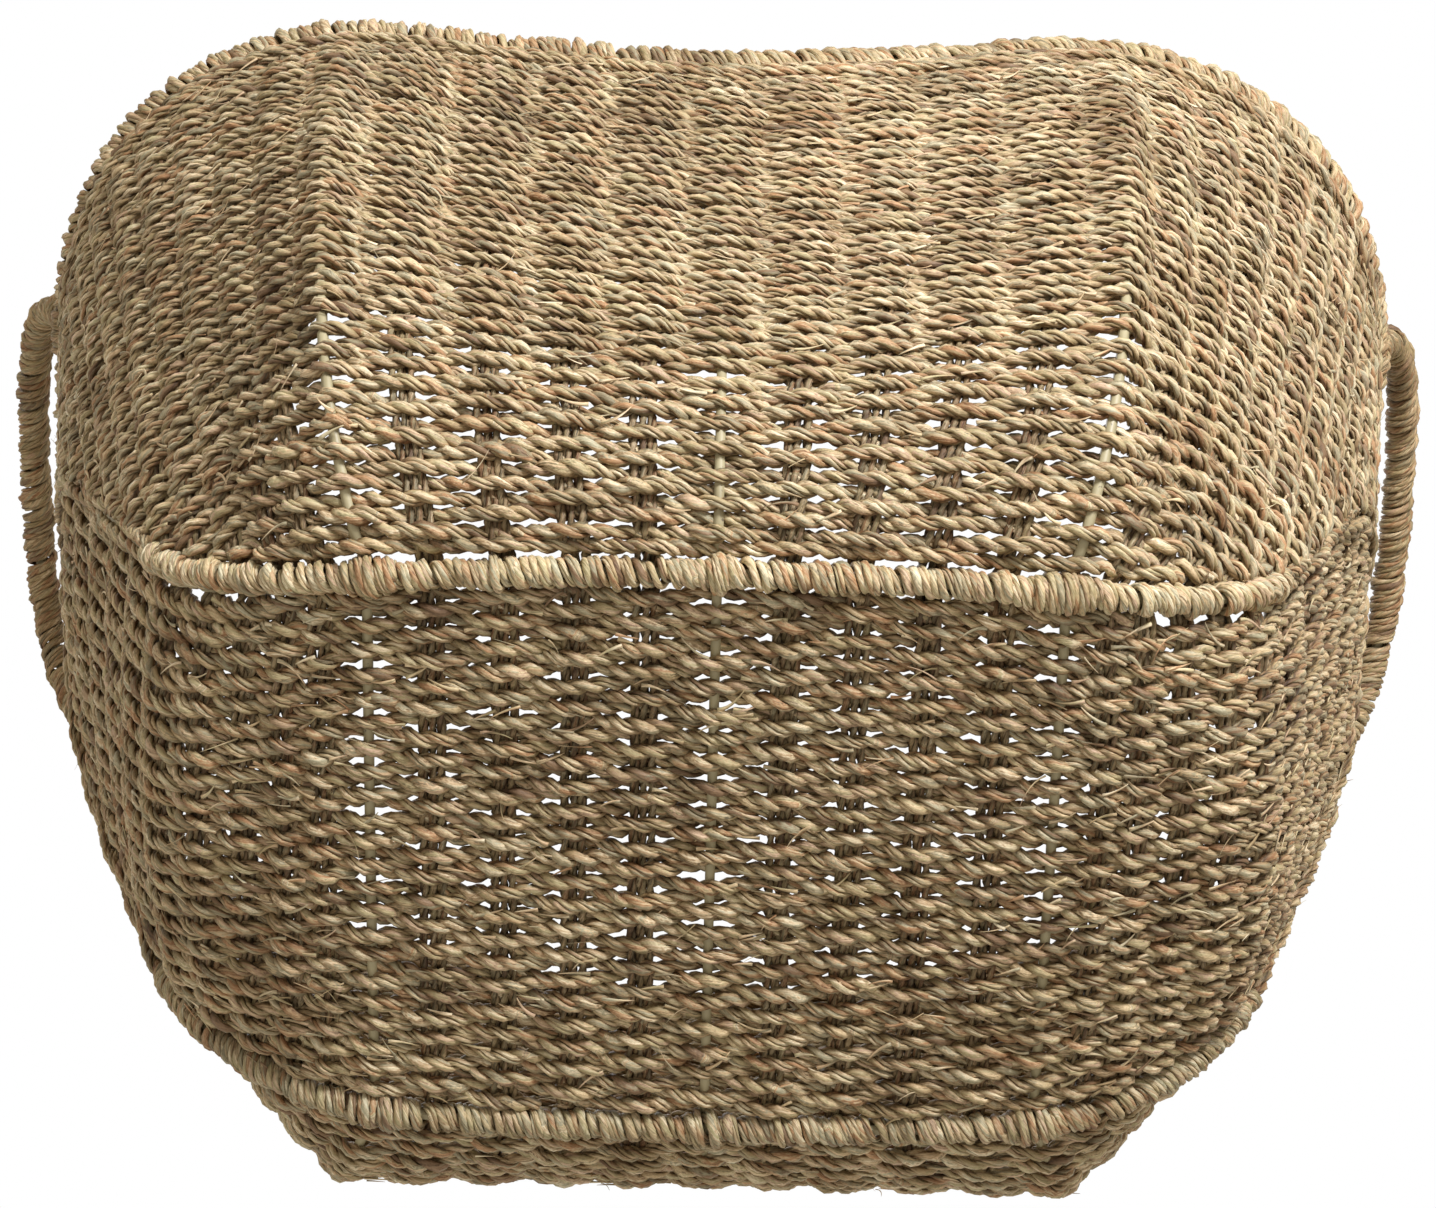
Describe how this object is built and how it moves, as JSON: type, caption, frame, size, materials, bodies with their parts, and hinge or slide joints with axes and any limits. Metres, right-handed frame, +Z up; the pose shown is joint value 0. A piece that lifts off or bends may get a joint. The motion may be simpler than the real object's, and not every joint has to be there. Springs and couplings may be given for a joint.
{
  "type": "wicker basket",
  "caption": "Boat-shaped open storage basket of twisted seagrass cord woven over a wire frame, with a wavy bound rim and a bound loop handle at each end.",
  "frame": {"origin": "centre of the bounding box at the height of the surface the basket stands on", "axes": "+Z up out of the basket's mouth, X along the basket from handle to handle, Y across it; the basket is mirror-symmetric about XZ and YZ"},
  "size_m": [0.6574, 0.473, 0.396],
  "materials": {
    "painted_steel": "tan painted steel wire, satin",
    "seagrass_binding": "flat seagrass strands bound tightly round the hoop wires, matt with a slight dry sheen",
    "seagrass_grip": "flat seagrass strands bound round the handle wires, a little darker from handling",
    "seagrass_base": "two-ply twisted seagrass cord in an open plain weave",
    "seagrass_weave": "two-ply twisted seagrass cord in a plain weave, close at the rim and open just above the base"
  },
  "bodies": {
    "root": {"rim_hoop": "painted_steel", "base_hoop": "painted_steel", "rib_middle": "painted_steel", "rib_right": "painted_steel", "rib_left": "painted_steel", "handle_wire_right": "painted_steel", "handle_wire_left": "painted_steel", "rim_binding_back": "seagrass_binding", "rim_binding_right": "seagrass_binding", "rim_binding_front": "seagrass_binding", "rim_binding_left": "seagrass_binding", "base_binding_back": "seagrass_binding", "base_binding_front": "seagrass_binding", "handle_binding_right": "seagrass_grip", "handle_binding_left": "seagrass_grip", "base_mat_right": "seagrass_base", "base_mat_left": "seagrass_base", "base_end_right": "seagrass_base", "base_end_left": "seagrass_base", "wall_back_right": "seagrass_weave", "corner_back_right": "seagrass_weave", "end_right": "seagrass_weave", "corner_front_right": "seagrass_weave", "wall_front_right": "seagrass_weave", "wall_front_left": "seagrass_weave", "corner_front_left": "seagrass_weave", "end_left": "seagrass_weave", "corner_back_left": "seagrass_weave", "wall_back_left": "seagrass_weave"}
  },
  "joints": []
}
